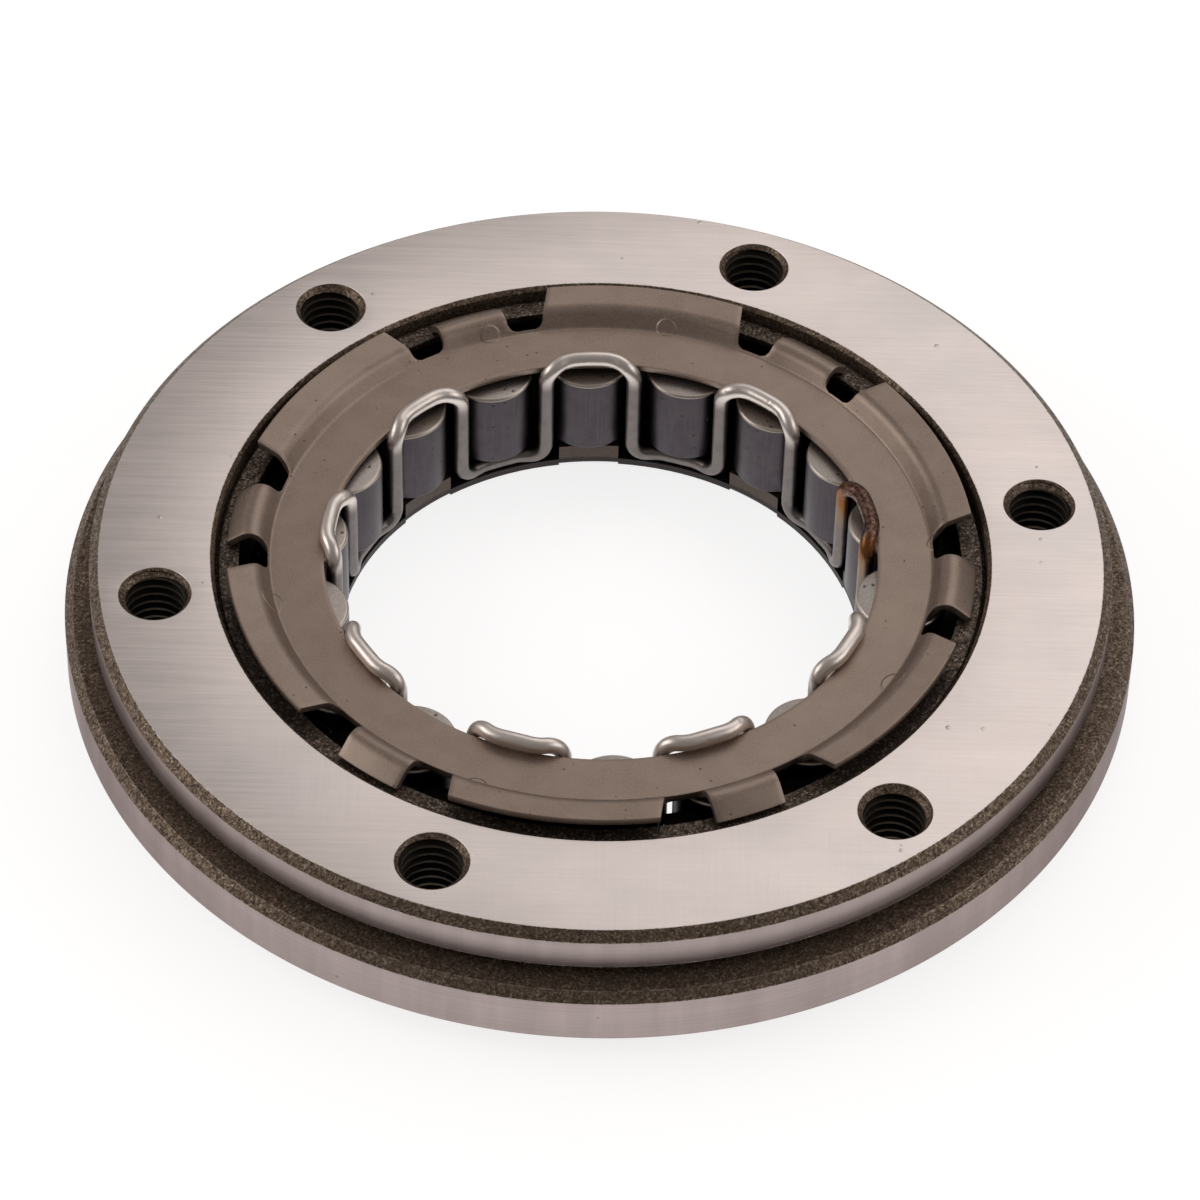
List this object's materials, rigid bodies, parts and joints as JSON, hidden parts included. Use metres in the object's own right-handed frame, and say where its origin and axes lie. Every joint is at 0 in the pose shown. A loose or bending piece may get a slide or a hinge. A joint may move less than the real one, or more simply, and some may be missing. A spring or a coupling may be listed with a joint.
{
  "type": "starter clutch",
  "caption": "Flanged one-way roller clutch with a stepped round housing, tapped holes on its ground face, caged rollers round an open bore and a bent wire that holds them.",
  "frame": {"origin": "middle of the bottom face, on the turning axis", "axes": "+Z along the turning axis to the ground face with the tapped holes, +X towards a long tab of the upper plate, 23.8 degrees short of its middle"},
  "size_m": [0.125, 0.125, 0.0179],
  "materials": {
    "ground_steel": "ground face, phosphate left in bevels and groove",
    "phosphated_race": "hardened steel with a dark phosphate coat",
    "phosphated_sheet": "pressed sheet steel with a satin phosphate coat",
    "spring_wire": "bright drawn wire",
    "roller_steel": "hardened steel, satin blue grey",
    "spring_strip": "bright strip"
  },
  "bodies": {
    "housing_body": {"housing": "ground_steel", "outer_race": "phosphated_race", "upper_plate": "phosphated_sheet", "lower_plate": "phosphated_sheet", "retaining_wire": "spring_wire", "spring_01": "spring_strip", "spring_02": "spring_strip", "spring_03": "spring_strip", "spring_04": "spring_strip", "spring_05": "spring_strip", "spring_06": "spring_strip", "spring_07": "spring_strip", "spring_08": "spring_strip", "spring_09": "spring_strip", "spring_10": "spring_strip", "spring_11": "spring_strip", "spring_12": "spring_strip", "spring_13": "spring_strip", "spring_14": "spring_strip", "spring_15": "spring_strip", "spring_16": "spring_strip", "spring_17": "spring_strip", "spring_18": "spring_strip"},
    "roller_01_body": {"roller_01": "roller_steel"},
    "roller_02_body": {"roller_02": "roller_steel"},
    "roller_03_body": {"roller_03": "roller_steel"},
    "roller_04_body": {"roller_04": "roller_steel"},
    "roller_05_body": {"roller_05": "roller_steel"},
    "roller_06_body": {"roller_06": "roller_steel"},
    "roller_07_body": {"roller_07": "roller_steel"},
    "roller_08_body": {"roller_08": "roller_steel"},
    "roller_09_body": {"roller_09": "roller_steel"},
    "roller_10_body": {"roller_10": "roller_steel"},
    "roller_11_body": {"roller_11": "roller_steel"},
    "roller_12_body": {"roller_12": "roller_steel"},
    "roller_13_body": {"roller_13": "roller_steel"},
    "roller_14_body": {"roller_14": "roller_steel"},
    "roller_15_body": {"roller_15": "roller_steel"},
    "roller_16_body": {"roller_16": "roller_steel"},
    "roller_17_body": {"roller_17": "roller_steel"},
    "roller_18_body": {"roller_18": "roller_steel"}
  },
  "joints": [
    {"name": "roller_01_wedge", "type": "slide", "parent": "housing_body", "child": "roller_01_body", "axis": [-0.0941, 0.9956, 0], "range_m": [0, 0.0009], "stiffness_N_per_m": 300, "springref_m": -0.003, "deforming": ["spring_01"]},
    {"name": "roller_02_wedge", "type": "slide", "parent": "housing_body", "child": "roller_02_body", "axis": [-0.4289, 0.9033, 0], "range_m": [0, 0.0009], "stiffness_N_per_m": 300, "springref_m": -0.003, "deforming": ["spring_02"]},
    {"name": "roller_03_wedge", "type": "slide", "parent": "housing_body", "child": "roller_03_body", "axis": [-0.712, 0.7022, 0], "range_m": [0, 0.0009], "stiffness_N_per_m": 300, "springref_m": -0.003, "deforming": ["spring_03"]},
    {"name": "roller_04_wedge", "type": "slide", "parent": "housing_body", "child": "roller_04_body", "axis": [-0.9092, 0.4163, 0], "range_m": [0, 0.0009], "stiffness_N_per_m": 300, "springref_m": -0.003, "deforming": ["spring_04"]},
    {"name": "roller_05_wedge", "type": "slide", "parent": "housing_body", "child": "roller_05_body", "axis": [-0.9968, 0.0802, 0], "range_m": [0, 0.0009], "stiffness_N_per_m": 300, "springref_m": -0.003, "deforming": ["spring_05"]},
    {"name": "roller_06_wedge", "type": "slide", "parent": "housing_body", "child": "roller_06_body", "axis": [-0.9641, -0.2656, 0], "range_m": [0, 0.0009], "stiffness_N_per_m": 300, "springref_m": -0.003, "deforming": ["spring_06"]},
    {"name": "roller_07_wedge", "type": "slide", "parent": "housing_body", "child": "roller_07_body", "axis": [-0.8151, -0.5793, 0], "range_m": [0, 0.0009], "stiffness_N_per_m": 300, "springref_m": -0.003, "deforming": ["spring_07"]},
    {"name": "roller_08_wedge", "type": "slide", "parent": "housing_body", "child": "roller_08_body", "axis": [-0.5678, -0.8231, 0], "range_m": [0, 0.0009], "stiffness_N_per_m": 300, "springref_m": -0.003, "deforming": ["spring_08"]},
    {"name": "roller_09_wedge", "type": "slide", "parent": "housing_body", "child": "roller_09_body", "axis": [-0.2521, -0.9677, 0], "range_m": [0, 0.0009], "stiffness_N_per_m": 300, "springref_m": -0.003, "deforming": ["spring_09"]},
    {"name": "roller_10_wedge", "type": "slide", "parent": "housing_body", "child": "roller_10_body", "axis": [0.0941, -0.9956, 0], "range_m": [0, 0.0009], "stiffness_N_per_m": 300, "springref_m": -0.003, "deforming": ["spring_10"]},
    {"name": "roller_11_wedge", "type": "slide", "parent": "housing_body", "child": "roller_11_body", "axis": [0.4289, -0.9033, 0], "range_m": [0, 0.0009], "stiffness_N_per_m": 300, "springref_m": -0.003, "deforming": ["spring_11"]},
    {"name": "roller_12_wedge", "type": "slide", "parent": "housing_body", "child": "roller_12_body", "axis": [0.712, -0.7022, 0], "range_m": [0, 0.0009], "stiffness_N_per_m": 300, "springref_m": -0.003, "deforming": ["spring_12"]},
    {"name": "roller_13_wedge", "type": "slide", "parent": "housing_body", "child": "roller_13_body", "axis": [0.9092, -0.4163, 0], "range_m": [0, 0.0009], "stiffness_N_per_m": 300, "springref_m": -0.003, "deforming": ["spring_13"]},
    {"name": "roller_14_wedge", "type": "slide", "parent": "housing_body", "child": "roller_14_body", "axis": [0.9968, -0.0802, 0], "range_m": [0, 0.0009], "stiffness_N_per_m": 300, "springref_m": -0.003, "deforming": ["spring_14"]},
    {"name": "roller_15_wedge", "type": "slide", "parent": "housing_body", "child": "roller_15_body", "axis": [0.9641, 0.2656, 0], "range_m": [0, 0.0009], "stiffness_N_per_m": 300, "springref_m": -0.003, "deforming": ["spring_15"]},
    {"name": "roller_16_wedge", "type": "slide", "parent": "housing_body", "child": "roller_16_body", "axis": [0.8151, 0.5793, 0], "range_m": [0, 0.0009], "stiffness_N_per_m": 300, "springref_m": -0.003, "deforming": ["spring_16"]},
    {"name": "roller_17_wedge", "type": "slide", "parent": "housing_body", "child": "roller_17_body", "axis": [0.5678, 0.8231, 0], "range_m": [0, 0.0009], "stiffness_N_per_m": 300, "springref_m": -0.003, "deforming": ["spring_17"]},
    {"name": "roller_18_wedge", "type": "slide", "parent": "housing_body", "child": "roller_18_body", "axis": [0.2521, 0.9677, 0], "range_m": [0, 0.0009], "stiffness_N_per_m": 300, "springref_m": -0.003, "deforming": ["spring_18"]}
  ],
  "couplings": [
    {"joint": "roller_02_wedge", "follows": "roller_01_wedge", "ratio": 1},
    {"joint": "roller_03_wedge", "follows": "roller_01_wedge", "ratio": 1},
    {"joint": "roller_04_wedge", "follows": "roller_01_wedge", "ratio": 1},
    {"joint": "roller_05_wedge", "follows": "roller_01_wedge", "ratio": 1},
    {"joint": "roller_06_wedge", "follows": "roller_01_wedge", "ratio": 1},
    {"joint": "roller_07_wedge", "follows": "roller_01_wedge", "ratio": 1},
    {"joint": "roller_08_wedge", "follows": "roller_01_wedge", "ratio": 1},
    {"joint": "roller_09_wedge", "follows": "roller_01_wedge", "ratio": 1},
    {"joint": "roller_10_wedge", "follows": "roller_01_wedge", "ratio": 1},
    {"joint": "roller_11_wedge", "follows": "roller_01_wedge", "ratio": 1},
    {"joint": "roller_12_wedge", "follows": "roller_01_wedge", "ratio": 1},
    {"joint": "roller_13_wedge", "follows": "roller_01_wedge", "ratio": 1},
    {"joint": "roller_14_wedge", "follows": "roller_01_wedge", "ratio": 1},
    {"joint": "roller_15_wedge", "follows": "roller_01_wedge", "ratio": 1},
    {"joint": "roller_16_wedge", "follows": "roller_01_wedge", "ratio": 1},
    {"joint": "roller_17_wedge", "follows": "roller_01_wedge", "ratio": 1},
    {"joint": "roller_18_wedge", "follows": "roller_01_wedge", "ratio": 1}
  ]
}
